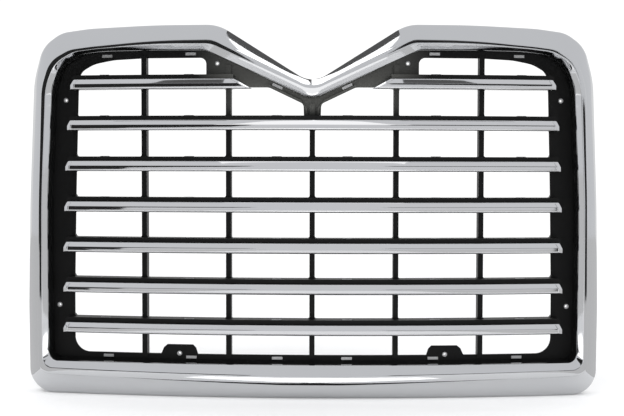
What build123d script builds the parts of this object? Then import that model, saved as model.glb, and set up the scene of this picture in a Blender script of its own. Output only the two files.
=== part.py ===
from build123d import *
import math
import os

# A truck's front grille. X runs across it, Z up and -Y forward; lengths are in mm.
# It is drawn from its bottom edge up and moved to the middle of its box at the end.

# ---------------------------------------------------------------- driving dimensions
BOW_RADIUS = 3200.0     # the whole grille is bowed forward in plan

# Depths of the surround's section at the middle of the grille
Y_RETURN_BACK = 14.0    # rear edge of the outer return
Y_SHOULDER = -20.0      # where the return rolls over into the outer face
Y_FACE = -44.0          # inner edge of the slanted outer face
Y_CROWN = -46.5         # front land of the frame, the front of the grille
Y_WALL_TOP = -34.5      # front edge of the inner wall
Y_FOOT = -0.3           # the inner wall ends here, just clear of the grid

FLANGE = 3.0            # plate of the grid, from Y = 0 back
RIM_DEPTH = 9.0         # stiffening rim behind the plate's edge
BAR_PITCH = 78.0
FIRST_BAR_Z = 128.0     # middle height of the lowest bar
BAR_HALF = 10.0         # half the height of a chromed bar
BAR_ENDS = [482.0, 481.5, 481.0, 478.5, 476.0, 472.0, 465.0]   # from the lowest bar up
BAR_BACK = -22.3        # the bars sit just in front of their carriers
BAR_OUTSIDE = [(BAR_BACK, -10), (-31.8, -10), (-33.2, -9.6), (-35.6, -7), (-36, -6.2), (-36, 0.5),
               (-35.6, 1.5), (-32, 9.4), (-31.2, 10), (BAR_BACK, 10)]      # (Y, Z) of the section
BAR_INSIDE = [(BAR_BACK + 1, -8), (-32, -8), (-33.9, -6), (-33.9, 0.2), (-30.4, 8), (BAR_BACK + 1, 8)]
KNEE = -1.0             # height at which an outer end starts to lean inwards
END_CHAMFER = 7.0       # chamfer in front of a bar's ends: its width
END_CHAMFER_DEPTH = 2.2
CARRIER_FRONT = -22.0
CARRIER_BACK = 10.0
CARRIER_LOW = -8.0      # carrier edges, from the middle of the bar
CARRIER_HIGH = 18.5
CARRIER_WALL = 2.5
RIB_X = [-325.5, -161.0, 0.0, 161.0, 325.5]
RIB_THICK = 10.0
RIB_FRONT = -3.0
RIB_BACK = 22.0
CLIP_X = [-398.0, -234.0, -67.0, 67.0, 234.0, 398.0]

# Mounting holes: half their spacing across, and their height
HOLES = {"side_upper": (481.5, 568.0), "side_lower": (497.0, 167.5),
         "top": (182.5, 637.0), "bottom": (257.0, 77.0)}
BOLT_HOLE_R = 2.75      # clearance for an M5 bolt
BUSH_R = 4.0
BUSH_HEAD_R = 4.8
BOSS_R = 7.5
BOSS_BACK = 9.0

# Half outlines, from the middle of the bottom edge round to the middle of the notch,
# as corners: (x, z, radius).
OUTER = [(60, -3, 3000), (553.8, -2.8, 48), (555, 170, 900), (551.2, 370, 2500), (541.2, 605, 200),
         (523, 671, 70), (485.5, 696.8, 60), (428.5, 703.8, 300), (300, 708.8, 2000), (178, 708.8, 80),
         (14, 605, 47)]
FACE_IN = [(60, 25.5, 900), (529.5, 39, 24), (529.5, 170, 900), (527.5, 370, 2500), (520.3, 590, 120),
           (504, 640.5, 60), (463.5, 662, 60), (420, 667, 300), (300, 677, 1500), (186, 678, 60),
           (12, 593, 44)]
BEAD_OUT = [(60, 43, 900), (521.5, 51, 20), (521.5, 170, 900), (520.5, 370, 2500), (511.5, 590, 120),
            (493.3, 636, 60), (455, 657, 60), (410, 662, 300), (300, 670, 1500), (190, 669, 50),
            (11, 586, 42)]
OPENING = [(60, 62.8, 3000), (510, 63.3, 16), (511, 170, 900), (511, 370, 2500), (501, 590, 90),
           (483.5, 634, 50), (445, 653, 50), (400, 658, 300), (300, 659.5, 1500), (201, 659, 36),
           (9, 570.5, 39)]
FOOT = [(60, 65.8, 3000), (508, 66.3, 16), (509, 170, 900), (509, 370, 2500), (499, 591, 90),
        (482, 635, 50), (444, 655, 50), (400, 661, 300), (300, 663, 1500), (201, 662, 36),
        (9, 570, 39)]
SECTION = [OUTER, FACE_IN, BEAD_OUT, OPENING]
WINDOW = [(466, 76, 30), (466, 200, 900), (462, 400, 2000), (455.5, 612, 4), (447, 625, 20),
          (425, 637.5, 60), (385, 645, 150), (320, 648, 300), (204, 648, 12), (204, 591, 3),
          (83, 591, 20), (17, 559.5, 10), (16, 530, 4)]
NOTCH_RIB = [(84, 593), (26, 565.5), (15, 556), (13, 549), (13, 538), (10, 538), (10, 551), (23, 567),
             (83, 596)]
TAB = [(219, 70), (221, 76), (225, 88), (231, 94), (281, 94), (288, 88), (292, 79), (297, 70)]

ARC_STEPS = 6           # points on a rounded corner, an even number
RUN_STEPS = 5           # and on a straight run
SKETCH_Y = -100.0       # flat outlines are drawn here, in front of everything


# ---------------------------------------------------------------- outlines and the bow
def bow(x):
    """How far back the bowed grille lies at a distance x from its middle."""
    return BOW_RADIUS - math.sqrt(BOW_RADIUS ** 2 - x ** 2)


def between(first, second, fraction):
    """The outline a fraction of the way from one outline to another."""
    return [tuple(a + (b - a) * fraction for a, b in zip(p, q)) for p, q in zip(first, second)]


def across(t):
    """An outline by its place in the surround's section: 0 OUTER, 1 FACE_IN, 2 BEAD_OUT, 3 OPENING."""
    i = min(int(t), len(SECTION) - 2)
    return between(SECTION[i], SECTION[i + 1], t - i)


def corner_arc(before, corner, after):
    """Points of the arc that rounds one corner of an outline."""
    x1, z1, radius = corner
    a = Vector(before[0] - x1, before[1] - z1)
    b = Vector(after[0] - x1, after[1] - z1)
    reach_limit = 0.48 * min(a.length, b.length)
    a = a.normalized()
    b = b.normalized()
    half = math.acos(a.dot(b)) / 2
    reach = min(radius / math.tan(half), reach_limit)
    centre = (a + b).normalized() * (reach / math.cos(half))
    start = a * reach - centre
    end = b * reach - centre
    turn = math.atan2(start.X * end.Y - start.Y * end.X, start.dot(end))
    points = []
    for k in range(ARC_STEPS + 1):
        w = turn * k / ARC_STEPS
        x = x1 + centre.X + start.X * math.cos(w) - start.Y * math.sin(w)
        z = z1 + centre.Y + start.X * math.sin(w) + start.Y * math.cos(w)
        points.append((x, z))
    return points


def half_groups(corners):
    """Arcs of a half outline, with its two ends on the middle line."""
    first = (-corners[0][0], corners[0][1])
    last = (-corners[-1][0], corners[-1][1])
    path = [first, *corners, last]
    arcs = [corner_arc(p, q, r) for p, q, r in zip(path, path[1:], path[2:])]
    return [[(0.0, first[1])], *arcs, [(0.0, last[1])]]


def divided(start, end, steps):
    """Points from start to end in equal steps, both ends included."""
    return [(start[0] + (end[0] - start[0]) * k / steps, start[1] + (end[1] - start[1]) * k / steps)
            for k in range(steps + 1)]


def rail(corners, y):
    """One closed line round the surround, at depth y, following the bow."""
    stretches = []
    groups = half_groups(corners)
    for group, following in zip(groups, groups[1:]):
        if len(group) > 1:
            stretches.append(group)
        stretches.append(divided(group[-1], following[0], RUN_STEPS))
    right = [[Vector(x, y + bow(x), z) for x, z in stretch] for stretch in stretches]
    left = [[Vector(-p.X, p.Y, p.Z) for p in reversed(stretch)] for stretch in reversed(right)]
    return Wire([Edge.make_spline(stretch) for stretch in right + left])


def outline_face(corners):
    """A flat face inside a half outline and its mirror image, in front of the grille."""
    groups = half_groups(corners)
    halves = []
    for side in (1, -1):
        for group, following in zip(groups, groups[1:]):
            points = [Vector(side * x, SKETCH_Y, z) for x, z in group]
            onward = Vector(side * following[0][0], SKETCH_Y, following[0][1])
            if len(points) > 1:
                halves.append(Edge.make_three_point_arc(points[0], points[ARC_STEPS // 2], points[-1]))
            halves.append(Edge.make_line(points[-1], onward))
    return Face(Wire(halves))


def slab(front, back):
    """Everything between two depths, both following the bow."""
    reach = 600.0
    front_line = [Vector(x, front + bow(x), -50) for x in (-reach, 0, reach)]
    back_line = [Vector(x, back + bow(x), -50) for x in (reach, 0, -reach)]
    edges = [Edge.make_three_point_arc(*front_line), Edge.make_line(front_line[2], back_line[0]),
             Edge.make_three_point_arc(*back_line), Edge.make_line(back_line[2], front_line[0])]
    return extrude(Face(Wire(edges)), amount=900, dir=(0, 0, 1))


def bowed(face, front, back):
    """A face's extrusion between two depths that follow the bow."""
    return extrude(face, amount=300, dir=(0, 1, 0)) & slab(front, back)


def rectangle(x0, x1, z0, z1):
    """An upright rectangle in front of the grille."""
    y = SKETCH_Y
    return Face(Wire.make_polygon([(x0, y, z0), (x1, y, z0), (x1, y, z1), (x0, y, z1)]))


def on_bow(x, z, tilt=0.0):
    """A place on the bowed plane Y = 0, turned to face out of it."""
    turn = math.degrees(math.asin(x / BOW_RADIUS))
    return Pos(x, bow(x), z) * Rot(0, 0, turn) * Rot(0, tilt, 0)


def box_between(x0, x1, y0, y1, z0, z1):
    """A box given by its faces."""
    return Pos((x0 + x1) / 2, (y0 + y1) / 2, (z0 + z1) / 2) * Box(x1 - x0, y1 - y0, z1 - z0)


# ---------------------------------------------------------------- surround
def surround():
    """Hollow chromed moulding: outer return, slanted face, front land, inner slope and wall."""
    skin = [(0, Y_RETURN_BACK), (0, Y_SHOULDER), (0.05, Y_SHOULDER - 3), (0.3, Y_SHOULDER - 8),
            (0.65, Y_FACE + 7), (0.95, Y_FACE), (1.15, Y_CROWN + 0.5), (1.5, Y_CROWN),
            (1.85, Y_CROWN + 0.5), (2.1, Y_CROWN + 1.5), (2.8, Y_WALL_TOP - 3.5), (3, Y_WALL_TOP)]
    lining = [(2.72, Y_WALL_TOP + 1.0), (2.0, Y_CROWN + 5.5), (1.1, Y_CROWN + 4.5),
              (0.75, Y_FACE + 8.5), (0.4, Y_SHOULDER - 5), (0.16, Y_SHOULDER + 1),
              (0.16, Y_RETURN_BACK)]
    foot_edges = [FOOT, between(FOOT, BEAD_OUT, 0.3)]
    rails = [rail(across(t), y) for t, y in skin]
    rails += [rail(corners, Y_FOOT) for corners in foot_edges]
    rails += [rail(across(t), y) for t, y in lining]
    return Solid.make_loft(rails + [rails[0]], ruled=True)


# ---------------------------------------------------------------- carrier grid
def bar_z(row):
    """Middle height of a row of bars, counted from the lowest."""
    return FIRST_BAR_Z + BAR_PITCH * row


def carrier(x0, x1, z):
    """Channel behind a bar, open at the back."""
    channel = bowed(rectangle(x0, x1, z + CARRIER_LOW, z + CARRIER_HIGH), CARRIER_FRONT, CARRIER_BACK)
    hollow = rectangle(x0 - 1, x1 + 1, z + CARRIER_LOW + CARRIER_WALL, z + CARRIER_HIGH - CARRIER_WALL)
    return channel - bowed(hollow, CARRIER_FRONT + CARRIER_WALL, CARRIER_BACK + 1)


def end_plate(x, z):
    """Closed end of a carrier, its upper corner rounded."""
    side = math.copysign(1, x)
    corner = 7.0
    high = z + CARRIER_HIGH
    arc = Edge.make_three_point_arc((x - side * corner, SKETCH_Y, high),
                                    (x - side * corner * 0.293, SKETCH_Y, high - corner * 0.293),
                                    (x, SKETCH_Y, high - corner))
    low_out = (x, SKETCH_Y, z + CARRIER_LOW)
    low_in = (x - side * (corner + 1), SKETCH_Y, z + CARRIER_LOW)
    top_in = (x - side * (corner + 1), SKETCH_Y, high)
    edges = [arc, Edge.make_line((x, SKETCH_Y, high - corner), low_out), Edge.make_line(low_out, low_in),
             Edge.make_line(low_in, top_in), Edge.make_line(top_in, (x - side * corner, SKETCH_Y, high))]
    return bowed(Face(Wire(edges)), CARRIER_FRONT, 1)


def clip_places():
    """Where the twelve flange clips sit: x, z and the slope of the edge beside them."""
    slope = math.degrees(math.atan2(658 - 570, 201 - 8))
    top = [(x, 652.5 if abs(x) > 300 else 655.5, 0.0) for x in CLIP_X if abs(x) > 100]
    notch = [(-67.0, 593.0, slope), (67.0, 593.0, -slope)]
    bottom = [(x, 69.8, 0.0) for x in CLIP_X]
    return {"clips_top": top, "clips_notch": notch, "clips_bottom": bottom}


def carrier_grid():
    """Black moulding: flange, uprights, carriers, gussets, tabs and bosses."""
    edge = outline_face(across(2.35))
    plate = bowed(edge, 0, FLANGE) - bowed(outline_face(WINDOW), -5, FLANGE + 5)
    rim = bowed(edge, FLANGE, RIM_DEPTH) - bowed(outline_face(across(2.55)), 0, RIM_DEPTH + 5)
    pieces = [rim]
    tops = {0.0: 560.0, 161.0: 634.0, 325.5: 652.0}
    for x in RIB_X:
        pieces.append(bowed(rectangle(x - RIB_THICK / 2, x + RIB_THICK / 2, 70, tops[abs(x)]),
                            RIB_FRONT, RIB_BACK))
    for row, end in enumerate(BAR_ENDS[:6]):
        pieces.append(carrier(-end + 9, end - 9, bar_z(row)))
        pieces += [end_plate(side * (end - 1), bar_z(row)) for side in (-1, 1)]
    end = BAR_ENDS[6]
    for x0, x1 in ((-end + 9, -150), (150, end - 9)):
        pieces.append(carrier(x0, x1, bar_z(6)))
    pieces += [end_plate(side * (end - 1), bar_z(6)) for side in (-1, 1)]
    for x, z in HOLES.values():
        for side in (-1, 1):
            pieces.append(Pos(side * x, bow(x) + BOSS_BACK / 2 + 0.5, z) * Rot(90, 0, 0)
                          * Cylinder(BOSS_R, BOSS_BACK - 1))
    for side in (-1, 1):
        tab = Face(Wire.make_polygon([(side * x, SKETCH_Y, z) for x, z in TAB]))
        pieces.append(bowed(tab, 0, FLANGE))
        notch_rib = Face(Wire.make_polygon([(side * x, SKETCH_Y, z) for x, z in NOTCH_RIB]))
        pieces.append(bowed(notch_rib, RIB_FRONT - 3, 0))
    grid = plate.fuse(*pieces)
    seat_depth = 20.0
    for x, z in HOLES.values():
        for side in (-1, 1):
            grid -= Pos(side * x, bow(x), z) * Rot(90, 0, 0) * Cylinder(BUSH_R + 0.1, 60)
            grid -= (Pos(side * x, bow(x) - seat_depth / 2, z) * Rot(90, 0, 0)
                     * Cylinder(BUSH_HEAD_R + 0.3, seat_depth))
    for places in clip_places().values():
        for x, z, tilt in places:
            grid -= on_bow(x, z, tilt) * box_between(-10.3, 10.3, -20, 20, -1.4, 1.4)
    return grid


# ---------------------------------------------------------------- bars
def bar_core():
    """A bar's outline from the side, three facets in front, in the YZ plane."""
    return Face(Wire.make_polygon([(0, y, z) for y, z in BAR_OUTSIDE]))


def bar_profile():
    """Section of a bar: an open-backed shell."""
    return bar_core() - Face(Wire.make_polygon([(0, y, z) for y, z in BAR_INSIDE]))


def swept(profile, z):
    """A YZ section carried along the bow, right across the grille."""
    half_turn = 10.0
    axis = Axis((0, BOW_RADIUS, 0), (0, 0, 1))
    start = Pos(0, BOW_RADIUS, 0) * Rot(0, 0, -half_turn) * Pos(0, -BOW_RADIUS, 0) * profile
    return Pos(0, 0, z) * revolve(start, axis, 2 * half_turn)


def end_outline(z, ends, inwards):
    """Corners of a bar's outline from the front; each end is (x low, x at the knee, x high)."""
    heights = (z - BAR_HALF, z + KNEE, z + BAR_HALF)
    left = [(x + inwards, height) for x, height in zip(ends[0], heights)]
    right = [(x - inwards, height) for x, height in zip(ends[1], heights)]
    return left + right[::-1]


def between_ends(z, ends, inset=0.0):
    """The stretch of a bar between its ends."""
    outline = Wire.make_polygon([(x, SKETCH_Y, height) for x, height in end_outline(z, ends, inset)])
    return extrude(Face(outline), amount=300, dir=(0, 1, 0))


def end_chamfers(z, ends):
    """Wedges to cut from the front of a bar's ends, so that each end has a facet seen from the front."""
    wedges = []
    for side, (low, knee, high) in zip((-1, 1), ends):
        front = bow(knee) + BAR_OUTSIDE[4][0]
        slope = END_CHAMFER_DEPTH / END_CHAMFER
        outlines = []
        for x, height in ((low, z - BAR_HALF - 1), (knee, z + KNEE), (high, z + BAR_HALF + 1)):
            inner = x - side * END_CHAMFER * 2
            outer = x + side * END_CHAMFER
            points = [(inner, front - END_CHAMFER * slope), (outer, front + END_CHAMFER * slope * 2),
                      (outer, front - 30), (inner, front - 30)]
            outlines.append(Wire.make_polygon([(px, y, height) for px, y in points]))
        wedges += [Solid.make_loft(pair, ruled=True) for pair in zip(outlines, outlines[1:])]
    return wedges


def bar(row, ends):
    """A chromed bar: a hollow shell with slanted, closed ends and pegs for its clips."""
    z = bar_z(row)
    shell = swept(bar_profile(), z) & between_ends(z, ends)
    core = swept(bar_core(), z)
    caps = (core & between_ends(z, ends)) - between_ends(z, ends, 2.5)
    result = shell.fuse(caps)
    for wedge in end_chamfers(z, ends):
        result = result - wedge
    for x in clip_columns(ends):
        peg = on_bow(x, z) * box_between(-5, 5, -34.4, BAR_BACK, 1.2, 3.0)
        result = result.fuse(peg & core)
    return result


def clip_columns(ends):
    """The columns whose clips reach a bar that has these ends."""
    return [x for x in CLIP_X if ends[0][2] + 15 < x < ends[1][2] - 15]


def bar_ends():
    """Every bar's name, row and ends."""
    found = {}
    for row, end in enumerate(BAR_ENDS[:6]):
        found[f"bar_{7 - row}"] = (row, [(-end, -end, -end + 6), (end, end, end - 6)])
    end = BAR_ENDS[6]
    found["upper_bar_left"] = (6, [(-end, -end, -end + 7), (-113, -129, -149)])
    found["upper_bar_right"] = (6, [(113, 129, 149), (end, end, end - 7)])
    return found


# ---------------------------------------------------------------- clips and bushes
def bar_clip(x, z):
    """Spring clip inside a carrier: its hook holds the bar's peg, its end stands out on top."""
    leaf = box_between(-9.4, 9.4, -18.7, -17.7, -1.8, CARRIER_HIGH + 1.2)
    hook = box_between(-4, 4, -31, -18.0, 0.1, 1.0)
    return on_bow(x, z) * leaf.fuse(hook)


def bar_clip_slots(x, z):
    """Openings of a carrier for one bar clip."""
    top = box_between(-10, 10, -19.0, -17.2, CARRIER_HIGH - 4, CARRIER_HIGH + 4)
    front = box_between(-4.5, 4.5, -26, -18.7, -0.4, 1.4)
    return on_bow(x, z) * (top + front)


def flange_clip(x, z, tilt):
    """Spring clip through the flange: a flat pad in front and a wider leaf behind."""
    pad = box_between(-10.0, 10.0, -1.3, -0.2, -2.7, 2.7)
    web = box_between(-9.8, 9.8, -1.0, FLANGE + 1.2, -1.0, 1.0)
    leaf = box_between(-9.8, 9.8, FLANGE + 0.2, FLANGE + 1.2, -4.0, 2.6)
    return on_bow(x, z, tilt) * pad.fuse(web, leaf)


def bush(x, z):
    """Steel bush with a thin head, pressed into a boss, for an M5 bolt along Y."""
    y = bow(x)
    head = Pos(0, -0.8, 0) * Rot(90, 0, 0) * Cylinder(BUSH_HEAD_R, 1.4)
    body = Pos(0, (BOSS_BACK - 1.0) / 2, 0) * Rot(90, 0, 0) * Cylinder(BUSH_R, BOSS_BACK + 1.0)
    bore = Rot(90, 0, 0) * Cylinder(BOLT_HOLE_R, 60)
    return Pos(x, y, z) * (head.fuse(body) - bore)


# ---------------------------------------------------------------- assembly
def assembly():
    """Every node by name."""
    nodes = {"surround": surround()}
    grid = carrier_grid()
    for name, (row, ends) in bar_ends().items():
        nodes[name] = bar(row, ends)
        columns = clip_columns(ends)
        clips = [bar_clip(x, bar_z(row)) for x in columns]
        label = name if name.startswith("bar_") else name.replace("bar_", "")
        nodes[f"clips_{label}"] = Compound(clips)
        for x in columns:
            grid -= bar_clip_slots(x, bar_z(row))
    nodes["carrier_grid"] = grid
    for name, places in clip_places().items():
        nodes[name] = Compound([flange_clip(*place) for place in places])
    for name, (x, z) in HOLES.items():
        nodes[f"bushes_{name}"] = Compound([bush(side * x, z) for side in (-1, 1)])
    return nodes


os.makedirs("parts", exist_ok=True)
parts = assembly()
box = parts["surround"].bounding_box()
to_middle = Pos(0, -(box.min.Y + box.max.Y) / 2, -(box.min.Z + box.max.Z) / 2)
for name, shape in parts.items():
    solids = [to_middle * solid for solid in shape.solids()]
    export_step(solids[0] if len(solids) == 1 else Compound(solids), f"parts/{name}.step")
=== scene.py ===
import math

import bmesh
import bpy
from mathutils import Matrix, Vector


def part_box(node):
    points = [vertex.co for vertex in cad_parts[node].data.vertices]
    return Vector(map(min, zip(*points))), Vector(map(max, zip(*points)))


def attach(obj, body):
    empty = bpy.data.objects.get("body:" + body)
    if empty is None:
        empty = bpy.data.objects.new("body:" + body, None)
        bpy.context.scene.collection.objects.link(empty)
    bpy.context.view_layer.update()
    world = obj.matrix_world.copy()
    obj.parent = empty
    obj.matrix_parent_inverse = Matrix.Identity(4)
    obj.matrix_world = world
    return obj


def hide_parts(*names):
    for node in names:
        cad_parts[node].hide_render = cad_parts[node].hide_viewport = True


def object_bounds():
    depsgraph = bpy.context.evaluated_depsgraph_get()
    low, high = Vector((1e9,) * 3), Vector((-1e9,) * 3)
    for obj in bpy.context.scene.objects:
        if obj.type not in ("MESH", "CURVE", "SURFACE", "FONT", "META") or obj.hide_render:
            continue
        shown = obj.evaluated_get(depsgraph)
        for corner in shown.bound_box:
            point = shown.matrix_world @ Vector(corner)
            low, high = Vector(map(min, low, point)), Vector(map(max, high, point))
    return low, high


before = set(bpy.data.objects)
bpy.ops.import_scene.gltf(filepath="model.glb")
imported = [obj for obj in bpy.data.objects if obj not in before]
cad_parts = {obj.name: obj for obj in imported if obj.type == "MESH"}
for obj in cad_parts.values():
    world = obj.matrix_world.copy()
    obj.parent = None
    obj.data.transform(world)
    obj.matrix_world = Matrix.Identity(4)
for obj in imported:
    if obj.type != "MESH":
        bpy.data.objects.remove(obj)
cad_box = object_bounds()

# ---------------------------------------------------------------- the grille's own frame
# The grille is drawn in millimetres, up from its bottom edge and forward from the front of
# the grid's flange at Y = 0; TO_MIDDLE carries a drawn point to the frame's origin.
MM = 0.001
BOW_RADIUS = 3200.0
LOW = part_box("surround")[0]
CROWN_Y = -46.5                       # front land of the frame, the foremost point
BOTTOM_Z = -3.0                       # bottom edge of the outer face
TO_MIDDLE = Vector((0.0, LOW[1] / MM - CROWN_Y, LOW[2] / MM - BOTTOM_Z))

# Depths of the surround's section at the middle of the grille
Y_RETURN_BACK = 14.0                  # rear edge of the outer return
Y_SHOULDER = -20.0                    # where the return rolls over into the outer face
Y_FACE = -44.0                        # inner edge of the slanted outer face
Y_WALL_TOP = -34.5                    # front edge of the inner wall
Y_FOOT = -0.3                         # end of the inner wall, just clear of the grid

# Half outlines, from the middle of the bottom edge round to the middle of the notch, as
# corners: (x, z, radius). OUTER is the outer edge, FACE_IN the inner edge of the outer face,
# BEAD_OUT the inner edge of the front land, OPENING the front of the inner wall and FOOT its end.
OUTER = [(60, -3, 3000), (553.8, -2.8, 48), (555, 170, 900), (551.2, 370, 2500), (541.2, 605, 200),
         (523, 671, 70), (485.5, 696.8, 60), (428.5, 703.8, 300), (300, 708.8, 2000), (178, 708.8, 80),
         (14, 605, 47)]
FACE_IN = [(60, 25.5, 900), (529.5, 39, 24), (529.5, 170, 900), (527.5, 370, 2500), (520.3, 590, 120),
           (504, 640.5, 60), (463.5, 662, 60), (420, 667, 300), (300, 677, 1500), (186, 678, 60),
           (12, 593, 44)]
BEAD_OUT = [(60, 43, 900), (521.5, 51, 20), (521.5, 170, 900), (520.5, 370, 2500), (511.5, 590, 120),
            (493.3, 636, 60), (455, 657, 60), (410, 662, 300), (300, 670, 1500), (190, 669, 50),
            (11, 586, 42)]
OPENING = [(60, 62.8, 3000), (510, 63.3, 16), (511, 170, 900), (511, 370, 2500), (501, 590, 90),
           (483.5, 634, 50), (445, 653, 50), (400, 658, 300), (300, 659.5, 1500), (201, 659, 36),
           (9, 570.5, 39)]
FOOT = [(60, 65.8, 3000), (508, 66.3, 16), (509, 170, 900), (509, 370, 2500), (499, 591, 90),
        (482, 635, 50), (444, 655, 50), (400, 661, 300), (300, 663, 1500), (201, 662, 36),
        (9, 570, 39)]
SECTION = [OUTER, FACE_IN, BEAD_OUT, OPENING]

ARC_STEPS = 12                        # steps of a rounded corner
RUN_STEPS = 12                        # and of a straight run
REACH_LIMIT = 0.48                    # the most of a side that one rounded corner takes up
CUT = 0.25                            # how far along a side corner cutting starts
MERGE_DISTANCE = 1e-7                 # metres


def bow(x):
    """How far back the bowed grille lies at a distance x from its middle."""
    return BOW_RADIUS - math.sqrt(BOW_RADIUS ** 2 - x ** 2)


def place(x, y, z):
    """A point of the grille's drawing, bowed and in the frame's metres."""
    return (Vector((x, y + bow(x), z)) + TO_MIDDLE) * MM


def between(first, second, fraction):
    """The outline a fraction of the way from one outline to another."""
    return [tuple(a + (b - a) * fraction for a, b in zip(p, q)) for p, q in zip(first, second)]


def across(t):
    """An outline by its place in the surround's section, 0 at the outer edge, 3 at the opening."""
    i = min(int(t), len(SECTION) - 2)
    return between(SECTION[i], SECTION[i + 1], t - i)


def corner_arc(before, corner, after):
    """Points of the arc that rounds one corner of an outline."""
    x1, z1, radius = corner
    a = Vector((before[0] - x1, before[1] - z1))
    b = Vector((after[0] - x1, after[1] - z1))
    reach_limit = REACH_LIMIT * min(a.length, b.length)
    a.normalize()
    b.normalize()
    half = math.acos(a.dot(b)) / 2
    reach = min(radius / math.tan(half), reach_limit)
    centre = (a + b).normalized() * (reach / math.cos(half))
    start = a * reach - centre
    end = b * reach - centre
    turn = math.atan2(start.x * end.y - start.y * end.x, start.dot(end))
    points = []
    for k in range(ARC_STEPS + 1):
        w = turn * k / ARC_STEPS
        points.append((x1 + centre.x + start.x * math.cos(w) - start.y * math.sin(w),
                       z1 + centre.y + start.x * math.sin(w) + start.y * math.cos(w)))
    return points


def closed_outline(corners):
    """Points of a half outline and its mirror image, as one closed line."""
    low = (0.0, corners[0][1])
    high = (0.0, corners[-1][1])
    path = [(-corners[0][0], low[1]), *corners, (-corners[-1][0], high[1])]
    groups = [[low]] + [corner_arc(p, q, r) for p, q, r in zip(path, path[1:], path[2:])] + [[high]]
    half = []
    for group, following in zip(groups, groups[1:]):
        half += group
        start, end = group[-1], following[0]
        half += [(start[0] + (end[0] - start[0]) * k / RUN_STEPS,
                  start[1] + (end[1] - start[1]) * k / RUN_STEPS) for k in range(1, RUN_STEPS)]
    half.append(high)
    return half + [(-x, z) for x, z in reversed(half[1:-1])]


def soften(points, rounds):
    """Corner cutting: every round replaces a corner by two points on its sides."""
    for _ in range(rounds):
        cut = []
        for p, q in zip(points, points[1:]):
            cut.append(tuple(a * (1 - CUT) + b * CUT for a, b in zip(p, q)))
            cut.append(tuple(a * CUT + b * (1 - CUT) for a, b in zip(p, q)))
        points = [points[0]] + cut[1:-1] + [points[-1]]
    return points


def mesh_object(name, verts, faces, slot, smooth=True):
    """A piece of the grille from points in metres, riding on the root body."""
    mesh = bpy.data.meshes.new(name)
    mesh.from_pydata([tuple(v) for v in verts], [], faces)
    mesh.validate()
    mesh.update()
    bm = bmesh.new()
    bm.from_mesh(mesh)
    bmesh.ops.remove_doubles(bm, verts=bm.verts, dist=MERGE_DISTANCE)
    bmesh.ops.recalc_face_normals(bm, faces=bm.faces)
    bm.to_mesh(mesh)
    bm.free()
    for polygon in mesh.polygons:
        polygon.use_smooth = smooth
    obj = bpy.data.objects.new(name, mesh)
    bpy.context.scene.collection.objects.link(obj)
    mesh.materials.append(MATERIALS[slot])
    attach(obj, "root")
    return obj


def tube_faces(rows, columns, close_rows=True):
    """Quads of a grid of points that is closed along its columns and, if asked, its rows."""
    faces = []
    for r in range(rows if close_rows else rows - 1):
        for c in range(columns):
            faces.append((r * columns + c, r * columns + (c + 1) % columns,
                          (r + 1) % rows * columns + (c + 1) % columns, (r + 1) % rows * columns + c))
    return faces


# ---------------------------------------------------------------- materials
MATERIALS = {}


def new_material(name):
    """A material with its nodes, links, shader and a texture vector fixed to the object."""
    mat = bpy.data.materials.new(name)
    mat.use_nodes = True
    nodes = mat.node_tree.nodes
    links = mat.node_tree.links
    coords = nodes.new("ShaderNodeTexCoord")
    MATERIALS[name] = mat
    return nodes, links, nodes["Principled BSDF"], coords.outputs["Object"]


def noise(nodes, links, vector, scale, detail):
    """A noise texture's value along a vector."""
    node = nodes.new("ShaderNodeTexNoise")
    node.inputs["Scale"].default_value = scale
    node.inputs["Detail"].default_value = detail
    links.new(vector, node.inputs["Vector"])
    return node.outputs["Fac"]


def ramp(nodes, links, factor, low, high):
    """A colour between two others, by a factor."""
    node = nodes.new("ShaderNodeValToRGB")
    node.color_ramp.elements[0].color = (*low, 1)
    node.color_ramp.elements[1].color = (*high, 1)
    links.new(factor, node.inputs["Fac"])
    return node.outputs["Color"]


def mapped(nodes, links, value, to_range, from_range=(0.0, 1.0)):
    """A value carried from one range to another."""
    node = nodes.new("ShaderNodeMapRange")
    node.inputs["From Min"].default_value, node.inputs["From Max"].default_value = from_range
    node.inputs["To Min"].default_value, node.inputs["To Max"].default_value = to_range
    links.new(value, node.inputs["Value"])
    return node.outputs["Result"]


def roughen(nodes, links, bsdf, height, strength, distance):
    """Surface relief; the distance is in metres."""
    node = nodes.new("ShaderNodeBump")
    node.inputs["Strength"].default_value = strength
    node.inputs["Distance"].default_value = distance
    links.new(height, node.inputs["Height"])
    links.new(node.outputs["Normal"], bsdf.inputs["Normal"])


def chrome(name, tint):
    """Bright plated chrome: near mirror, with faint haze, orange peel and handling marks."""
    nodes, links, bsdf, place_on = new_material(name)
    bsdf.inputs["Metallic"].default_value = 1.0
    haze = noise(nodes, links, place_on, 9.0, 5.0)
    links.new(mapped(nodes, links, haze, (0.035, 0.085)), bsdf.inputs["Roughness"])
    hazy = (tint[0] * 0.96, tint[1] * 0.96, tint[2] * 0.965)
    links.new(ramp(nodes, links, haze, hazy, tint), bsdf.inputs["Base Color"])
    roughen(nodes, links, bsdf, noise(nodes, links, place_on, 22.0, 2.0), 0.10, 0.0012)


def painted_sheen_mask(nodes, links, place_on):
    """Where the painted sheen goes: one around the notch, above the second row of bars, and nothing
    elsewhere.
    """
    away = nodes.new("ShaderNodeVectorMath")
    away.operation = "DISTANCE"
    away.inputs[1].default_value = (0.0, 0.0, 0.33)
    links.new(place_on, away.inputs[0])
    axes = nodes.new("ShaderNodeSeparateXYZ")
    links.new(place_on, axes.inputs["Vector"])
    both = nodes.new("ShaderNodeMath")
    both.operation = "MULTIPLY"
    links.new(mapped(nodes, links, away.outputs["Value"], (0.0, 0.9), (0.235, 0.15)), both.inputs[0])
    links.new(mapped(nodes, links, axes.outputs["Z"], (0.0, 1.0), (0.184, 0.2)), both.inputs[1])
    return both.outputs["Value"]


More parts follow.
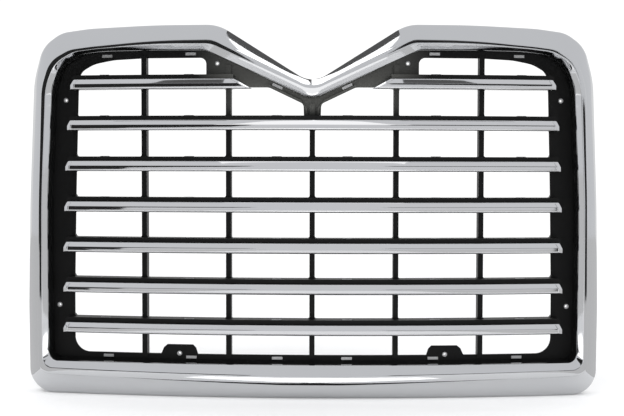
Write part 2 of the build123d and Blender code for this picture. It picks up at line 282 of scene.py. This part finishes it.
def black_plastic():
    """Moulded black plastic with a fine spark-eroded grain, and a painted highlight: a paler grey around
    the notch, standing in for the light that catches the panels there.
    """
    nodes, links, bsdf, place_on = new_material("black_plastic")
    cloud = noise(nodes, links, place_on, 14.0, 6.0)
    black = ramp(nodes, links, cloud, (0.0035, 0.0035, 0.0037), (0.0065, 0.0065, 0.0064))
    # painted highlight: a paler satin grey mixed in around the notch, in place of light falling on the
    # panels there
    painted_notch_sheen = nodes.new("ShaderNodeMix")
    painted_notch_sheen.data_type = "RGBA"
    painted_notch_sheen.inputs["B"].default_value = (0.11, 0.11, 0.102, 1)
    links.new(painted_sheen_mask(nodes, links, place_on), painted_notch_sheen.inputs["Factor"])
    links.new(black, painted_notch_sheen.inputs["A"])
    links.new(painted_notch_sheen.outputs["Result"], bsdf.inputs["Base Color"])
    links.new(mapped(nodes, links, cloud, (0.42, 0.58)), bsdf.inputs["Roughness"])
    bsdf.inputs["Specular IOR Level"].default_value = 0.16
    roughen(nodes, links, bsdf, noise(nodes, links, place_on, 1400.0, 3.0), 0.25, 0.0002)


def steel(name, base, rough_low, rough_high):
    """Plain steel with fine rolling marks along X."""
    nodes, links, bsdf, place_on = new_material(name)
    bsdf.inputs["Metallic"].default_value = 1.0
    stretch = nodes.new("ShaderNodeMapping")
    stretch.inputs["Scale"].default_value = (60.0, 900.0, 900.0)
    links.new(place_on, stretch.inputs["Vector"])
    marks = noise(nodes, links, stretch.outputs["Vector"], 1.0, 4.0)
    dull = (base * 0.8, base * 0.8, base * 0.81)
    links.new(ramp(nodes, links, marks, dull, (base, base, base)), bsdf.inputs["Base Color"])
    links.new(mapped(nodes, links, marks, (rough_low, rough_high)), bsdf.inputs["Roughness"])


chrome("chrome", (0.545, 0.55, 0.56))
# painted light: the bars' chrome is a brighter copy of the surround's, so that the bars read as more
# brightly lit
chrome("chrome_bars", (0.58, 0.582, 0.592))
black_plastic()
steel("spring_steel", 0.55, 0.3, 0.5)
steel("zinc_steel", 0.36, 0.28, 0.42)


# ---------------------------------------------------------------- surround
def surround():
    """The chromed surround, lofted smoothly through the CAD one's outlines.

    A point of its section is a place between the outlines, as across() takes it, and a depth.
    """
    skin = [(0.0, Y_RETURN_BACK), (0.0, Y_SHOULDER + 8), (0.0, Y_SHOULDER), (0.05, Y_SHOULDER - 4),
            (0.3, Y_SHOULDER - 11), (0.6, Y_FACE + 6.0), (0.8, Y_FACE + 2.2), (0.94, Y_FACE + 0.2),
            (1.02, CROWN_Y + 1.0), (1.08, CROWN_Y + 0.12), (1.5, CROWN_Y), (1.9, CROWN_Y + 0.05),
            (2.02, CROWN_Y + 0.25), (2.12, CROWN_Y + 1.2), (2.5, CROWN_Y + 5.5),
            (2.88, Y_WALL_TOP - 2.0), (3, Y_WALL_TOP), (3.0, Y_WALL_TOP + 3)]
    lining = [(2.72, Y_WALL_TOP + 3), (2.7, Y_WALL_TOP + 0.6), (2.0, CROWN_Y + 5.5), (1.1, CROWN_Y + 4.5),
              (0.75, Y_FACE + 8.5), (0.4, Y_SHOULDER - 5), (0.16, Y_SHOULDER + 1),
              (0.16, Y_RETURN_BACK)]
    verts = []
    rows = 0
    for t, y in soften(skin, 3):
        verts += [place(x, y, z) for x, z in closed_outline(across(t))]
        rows += 1
    # the foot of the inner wall, with its two edges rounded
    foot = [(FOOT, Y_FOOT - 0.6), (between(FOOT, BEAD_OUT, 0.04), Y_FOOT),
            (between(FOOT, BEAD_OUT, 0.26), Y_FOOT), (between(FOOT, BEAD_OUT, 0.3), Y_FOOT - 0.6)]
    for corners, y in foot:
        verts += [place(x, y, z) for x, z in closed_outline(corners)]
        rows += 1
    for t, y in soften(lining, 2):
        verts += [place(x, y, z) for x, z in closed_outline(across(t))]
        rows += 1
    columns = len(verts) // rows
    shell = mesh_object("surround_shell", verts, tube_faces(rows, columns), "chrome")
    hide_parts("surround")
    return shell


surround()


# ---------------------------------------------------------------- bars
BAR_PITCH = 78.0
FIRST_BAR_Z = 128.0
BAR_HALF = 10.0                       # half the height of a bar
BAR_BACK = -22.3
BAR_FRONT = -36.0
BAR_OUTSIDE = [(BAR_BACK, -10), (-31.4, -10), (-32.8, -9.8), (-34.8, -8.2), (-35.8, -6.6),
               (BAR_FRONT, -6.0), (BAR_FRONT, 0.4), (-35.6, 1.4), (-34, 5.2), (-32.2, 9.4), (-30.8, 10),
               (BAR_BACK, 10)]        # (Y, Z) of the section
BAR_WALL = 2.2
INSIDE_FRONT = -33.8
INSIDE_HEIGHT = 0.8                   # of the outside's height
BAR_ENDS = [482.0, 481.5, 481.0, 478.5, 476.0, 472.0, 465.0]   # from the lowest bar up
END_LEAN = 6.0                        # how far a bar's outer end leans inwards above its knee
TOP_END_LEAN = 7.0
NOTCH_END = (113.0, 129.0, 149.0)     # the top bars' ends beside the notch
KNEE = -1.0                           # height of the knee in a bar's end
END_CHAMFER = 7.0                     # chamfer in front of a bar's ends: its width
END_CHAMFER_DEPTH = 2.2
BAR_STEPS = 96
CAP_THICK = 9.0
CAP_MIDDLE = Vector((-27.0, 0.0))     # the point of the section that a cap's rounded edge draws in to


def end_x(end, z):
    """Where a bar's end lies at a height of its section; end is (x low, x at the knee, x high)."""
    low, knee, high = end
    if z < KNEE:
        return low + (knee - low) * (z + BAR_HALF) / (KNEE + BAR_HALF)
    return knee + (high - knee) * (z - KNEE) / (BAR_HALF - KNEE)


def bar_object(name, row, ends):
    """One chromed bar: an open-backed shell with closed ends; chamfered in front."""
    z0 = FIRST_BAR_Z + BAR_PITCH * row
    outside = soften(BAR_OUTSIDE, 2)
    inside = [(max(y + BAR_WALL, INSIDE_FRONT) if y < BAR_BACK - 1 else y, z * INSIDE_HEIGHT)
              for y, z in reversed(outside)]
    ring = outside + inside
    verts = []
    for k in range(BAR_STEPS + 1):
        f = k / BAR_STEPS
        for y, z in ring:
            x0 = end_x(ends[0], z) + CAP_THICK
            x1 = end_x(ends[1], z) - CAP_THICK
            verts.append(place(x0 + (x1 - x0) * f, y, z + z0))
    columns = len(ring)
    faces = tube_faces(BAR_STEPS + 1, columns, close_rows=False)
    shell = mesh_object(f"{name}_shell", verts, faces, "chrome_bars")
    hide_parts(name)
    # each end is a solid cap, cut off slantwise in front and closed at its side
    n = len(outside)
    slope = END_CHAMFER_DEPTH / END_CHAMFER
    for side, end, label in ((-1, ends[0], "left"), (1, ends[1], "right")):
        verts = []
        # rows of points by their distance from the end and how far they draw in
        rows = [(CAP_THICK, 0.0), (END_CHAMFER + 0.5, 0.0), (END_CHAMFER - 0.5, 0.0)]
        rows += [(END_CHAMFER * k / 6, 0.0) for k in range(5, 0, -1)]
        rows += [(0.6, 0.0), (0.2, 0.2), (0.0, 0.6)]
        for depth, shrink in rows:
            chamfer_y = BAR_FRONT + (END_CHAMFER - depth) * slope
            for y, z in outside:
                inwards = (CAP_MIDDLE - Vector((y, z))).normalized() * shrink
                yy, zz = y + inwards.x, z + inwards.y
                verts.append(place(end_x(end, zz) - side * depth, max(yy, chamfer_y + shrink), zz + z0))
        count = len(rows)
        faces = tube_faces(count, n, close_rows=False)
        faces += [tuple(range(n)), tuple(range((count - 1) * n, count * n))]
        mesh_object(f"{name}_{label}_cap", verts, faces, "chrome_bars")


def outer_ends(end, lean):
    """A bar's left and right outer ends: upright up to the knee, then leaning inwards."""
    return (-end, -end, -end + lean), (end, end, end - lean)


def bars():
    """The six full-width bars and the two short ones beside the notch."""
    top = len(BAR_ENDS) - 1
    for row, end in enumerate(BAR_ENDS[:top]):
        bar_object(f"bar_{top + 1 - row}", row, outer_ends(end, END_LEAN))
    left, right = outer_ends(BAR_ENDS[top], TOP_END_LEAN)
    bar_object("upper_bar_left", top, (left, tuple(-x for x in NOTCH_END)))
    bar_object("upper_bar_right", top, (NOTCH_END, right))


bars()

# ---------------------------------------------------------------- grid, clips and bushes
RIB_X = [-325.5, -161.0, 0.0, 161.0, 325.5]
RIB_THICK = 10.0
CARRIER_LOW = -8.0                    # carrier edges, from the middle of the bar
CARRIER_HIGH = 18.5
WINDOW_HALF = 466.0                   # half the width of the grid's window at its lower cells
WINDOW_TAPER = 4 / 2.4                # how much that loses with each row from the second up
FILLET = 4.5
FILLET_STEPS = 5
FILLET_FRONT = -2.8
FILLET_BACK = 9.0
SINK = 0.2                            # how far the fillets reach into their neighbours
GRID_ROUNDING = 0.0006                # metres, as are the next two
SMALL_ROUNDING = 0.0003
CAD_MERGE_DISTANCE = 1e-6
FLAT_ANGLE = 1.5                      # degrees: faces that meet at less than this are one
SMALL_PARTS = {"bushes": "zinc_steel", "clips": "spring_steel"}


def bevelled_copy(node, slot, width, angle):
    """A copy of a CAD node's mesh with its edges rounded."""
    obj = bpy.data.objects[node].copy()
    obj.data = obj.data.copy()
    obj.name = f"{node}_bevelled"
    bpy.context.scene.collection.objects.link(obj)
    obj.data.materials.clear()
    obj.data.materials.append(MATERIALS[slot])
    bm = bmesh.new()
    bm.from_mesh(obj.data)
    bmesh.ops.remove_doubles(bm, verts=bm.verts, dist=CAD_MERGE_DISTANCE)
    bmesh.ops.dissolve_limit(bm, angle_limit=math.radians(FLAT_ANGLE), verts=bm.verts, edges=bm.edges)
    bm.to_mesh(obj.data)
    bm.free()
    bevel = obj.modifiers.new("rounded_edges", "BEVEL")
    bevel.width = width
    bevel.segments = 2
    bevel.limit_method = "ANGLE"
    bevel.angle_limit = math.radians(angle)
    for polygon in obj.data.polygons:
        polygon.use_smooth = False
    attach(obj, "root")
    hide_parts(node)
    return obj


def cell_corners():
    """Fillets in the corners of the grid's cells, between its uprights and its carriers."""
    verts = []
    faces = []

    def fillet(x, z, right, up):
        base = len(verts)
        outline = [(x, z)]
        for k in range(FILLET_STEPS + 1):
            w = math.pi / 2 * k / FILLET_STEPS
            outline.append((x + right * FILLET * (1 - math.sin(w)), z + up * FILLET * (1 - math.cos(w))))
        for y in (FILLET_FRONT, FILLET_BACK):
            verts.extend(place(px, y, pz) for px, pz in outline)
        n = len(outline)
        faces.append(tuple(base + k for k in range(n)))
        faces.append(tuple(base + n + k for k in reversed(range(n))))
        for k in range(n):
            faces.append((base + k, base + (k + 1) % n, base + n + (k + 1) % n, base + n + k))

    half = RIB_THICK / 2 - SINK
    top = len(BAR_ENDS) - 1
    for row in range(-1, top + 1):
        low = FIRST_BAR_Z + BAR_PITCH * row + CARRIER_HIGH - SINK
        high = FIRST_BAR_Z + BAR_PITCH * (row + 1) + CARRIER_LOW + SINK
        for x in RIB_X:
            beside_gusset = row == top and abs(x) < RIB_X[-1]
            under_notch = row == top - 1 and x == 0
            for right in (-1, 1):
                if row >= 0 and not beside_gusset:
                    fillet(x + right * half, low, right, 1)
                if row < top and not under_notch:
                    fillet(x + right * half, high, right, -1)
        if 0 <= row < top:
            edge = WINDOW_HALF - WINDOW_TAPER * max(0, row - 1) - SINK
            for right in (-1, 1):
                fillet(-right * edge, low, right, 1)
                fillet(-right * edge, high, right, -1)
    return mesh_object("cell_corners", verts, faces, "black_plastic", smooth=False)


def cad_looks():
    """The grid, clips and bushes, as their CAD meshes with rounded edges."""
    bevelled_copy("carrier_grid", "black_plastic", GRID_ROUNDING, 35)
    cell_corners()
    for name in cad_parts:
        slot = SMALL_PARTS.get(name.split("_")[0])
        if slot:
            bevelled_copy(name, slot, SMALL_ROUNDING, 40)


cad_looks()


# ---------------------------------------------------------------- stage, light and camera
# The cards stand for the dark and bright parts of a studio that the chrome mirrors. They are
# flat, only reflections see them, and their glow is by the first word of a card's name.
GLOWS = {"dark": 0.03, "dim": 0.14, "soft": 0.82, "pale": 1.6, "bright": 2.6}
FLOOR_Z = cad_box[0][2]
CARD_Z = FLOOR_Z + 0.001              # cards that lie on the floor
FAR_Y = -3.0                          # upright cards by the camera
NEAR_Y = -1.3                         # upright cards beside the grille's front
BROW_Y = -0.15                        # upright cards just above the grille's front
UNDER_NOTCH_Z = 0.2
STAGE_HALF = 6.0
BACKDROP_Y = 3.0
BACKDROP_TOP = 5.0
LAMPS = [("key", (-1.6, -1.8, 2.4), 1.6, 30), ("fill", (2.2, -1.4, 1.8), 1.2, 20)]

LENS = 60.73
EYE = (29.0, -2020.0, 437.0)          # in the grille's drawing, in millimetres
AIM = (0.0, -20.0, 361.0)
ROLL = 0.12                           # degrees


def upright(y, outline):
    """Corners of an upright card across the stage, from its (x, z)."""
    return [(x, y, z) for x, z in outline]


def level(z, outline):
    """Corners of a level card, from its (x, y)."""
    return [(x, y, z) for x, y in outline]


def middle(outline):
    """Corners of an upright card along the middle of the stage, from its (y, z)."""
    return [(0, y, z) for y, z in outline]


def mirrored(outline):
    """The other side of the stage, for upright or level corners."""
    return [(-x, other) for x, other in outline]


BROW = [(-0.47, 0.343), (-0.2, 0.343), (-0.2, 0.43), (-0.3, 0.42), (-0.47, 0.355)]
BESIDE = [(-STAGE_HALF, -STAGE_HALF), (-0.62, -STAGE_HALF), (-0.62, 2.9), (-STAGE_HALF, 2.9)]
CARDS = {
    "dark_left": upright(FAR_Y, [(-4.2, -0.6), (-1.75, -0.5), (-1.65, 0.1), (-0.7, 0.27), (-0.56, 0.45),
                                 (-0.56, 1.9), (-4.2, 1.9)]),
    "dark_right": upright(FAR_Y, [(0.6, 0.55), (2.2, 0.5), (2.2, 1.6), (0.6, 1.9)]),
    "dark_near_left": upright(NEAR_Y, [(-1.5, -0.35), (-1.12, -0.35), (-1.12, 0.2), (-1.5, 0.2)]),
    "dark_near_right": upright(NEAR_Y, [(1.18, -0.35), (1.5, -0.35), (1.5, 0.3), (1.18, 0.3)]),
    "dim_brow_left": upright(BROW_Y, BROW),
    "dim_brow_right": upright(BROW_Y, mirrored(BROW)),
    "bright_notch": middle([(-0.17, 0.27), (0.05, 0.27), (0.03, 0.31), (0.01, 0.47), (-0.06, 0.68),
                            (-0.1, 0.8), (-0.3, 0.8), (-0.17, 0.45)]),
    "dim_notch": middle([(0.05, 0.27), (0.5, 0.27), (0.5, 0.8), (-0.1, 0.8), (-0.06, 0.68), (0.01, 0.47),
                         (0.03, 0.31)]),
    "pale_notch": level(UNDER_NOTCH_Z, [(-0.2, -0.075), (0.0, -0.055), (0.2, -0.075), (0.2, -0.14),
                                        (0.0, -0.11), (-0.2, -0.14)]),
    "soft_floor_left": level(CARD_Z, BESIDE),
    "soft_floor_right": level(CARD_Z, mirrored(BESIDE)),
    "dark_low": level(CARD_Z, [(-0.42, -0.11), (0.0, -0.2), (0.42, -0.11), (0.0, -0.075)]),
    "bright_low": level(CARD_Z, [(-0.3, -0.24), (0.0, -0.205), (0.3, -0.24), (0.25, -0.3), (0.0, -0.36),
                                 (-0.25, -0.3)]),
}


def plane(name, corners, material):
    """A flat face of the stage."""
    mesh = bpy.data.meshes.new(name)
    mesh.from_pydata(corners, [], [tuple(range(len(corners)))])
    obj = bpy.data.objects.new(name, mesh)
    bpy.context.scene.collection.objects.link(obj)
    mesh.materials.append(material)
    return obj


def glow_material(name, value):
    """A surface that only glows, evenly and in grey."""
    mat = bpy.data.materials.new(name)
    mat.use_nodes = True
    nodes = mat.node_tree.nodes
    nodes.clear()
    glow = nodes.new("ShaderNodeEmission")
    glow.inputs["Color"].default_value = (value, value, value, 1)
    out = nodes.new("ShaderNodeOutputMaterial")
    mat.node_tree.links.new(glow.outputs["Emission"], out.inputs["Surface"])
    return mat


def stage():
    """A pale floor and backdrop, the cards, a pale world and two soft lamps."""
    bsdf = new_material("floor")[2]
    bsdf.inputs["Base Color"].default_value = (0.9, 0.9, 0.9, 1)
    bsdf.inputs["Roughness"].default_value = 0.9
    bsdf.inputs["Emission Color"].default_value = (1, 1, 1, 1)
    bsdf.inputs["Emission Strength"].default_value = 0.1
    left, right = -STAGE_HALF, STAGE_HALF
    plane("floor", level(FLOOR_Z, [(left, left), (right, left), (right, BACKDROP_Y), (left, BACKDROP_Y)]),
          MATERIALS["floor"])
    plane("backdrop", upright(BACKDROP_Y, [(left, FLOOR_Z), (right, FLOOR_Z), (right, BACKDROP_TOP),
                                           (left, BACKDROP_TOP)]), glow_material("backdrop", 1.1))
    glows = {name: glow_material(f"{name}_card", value) for name, value in GLOWS.items()}
    for name, corners in CARDS.items():
        card = plane(name, corners, glows[name.split("_")[0]])
        card.visible_camera = False
        card.visible_shadow = False
        card.visible_diffuse = False

    world = bpy.data.worlds.new("studio")
    bpy.context.scene.world = world
    world.use_nodes = True
    background = world.node_tree.nodes["Background"]
    background.inputs["Color"].default_value = (0.92, 0.93, 0.95, 1)
    background.inputs["Strength"].default_value = 1.0

    for name, stands_at, size, power in LAMPS:
        lamp = bpy.data.lights.new(name, "AREA")
        lamp.shape = "SQUARE"
        lamp.size = size
        lamp.energy = power
        obj = bpy.data.objects.new(name, lamp)
        obj.location = stands_at
        obj.rotation_euler = (-Vector(stands_at)).to_track_quat("-Z", "Y").to_euler()
        obj.visible_glossy = False
        bpy.context.scene.collection.objects.link(obj)


def camera():
    """The camera, a little above and to the right of the grille's middle."""
    cam = bpy.data.cameras.new("camera")
    cam.sensor_width = 36.0
    cam.lens = LENS
    obj = bpy.data.objects.new("camera", cam)
    eye = (Vector(EYE) + TO_MIDDLE) * MM
    aim = (Vector(AIM) + TO_MIDDLE) * MM
    obj.location = eye
    obj.rotation_euler = (aim - eye).to_track_quat("-Z", "Y").to_euler()
    obj.rotation_euler.rotate_axis("Z", math.radians(ROLL))
    bpy.context.scene.collection.objects.link(obj)
    bpy.context.scene.camera = obj
    bpy.context.scene.view_settings.view_transform = "Standard"


stage()
camera()
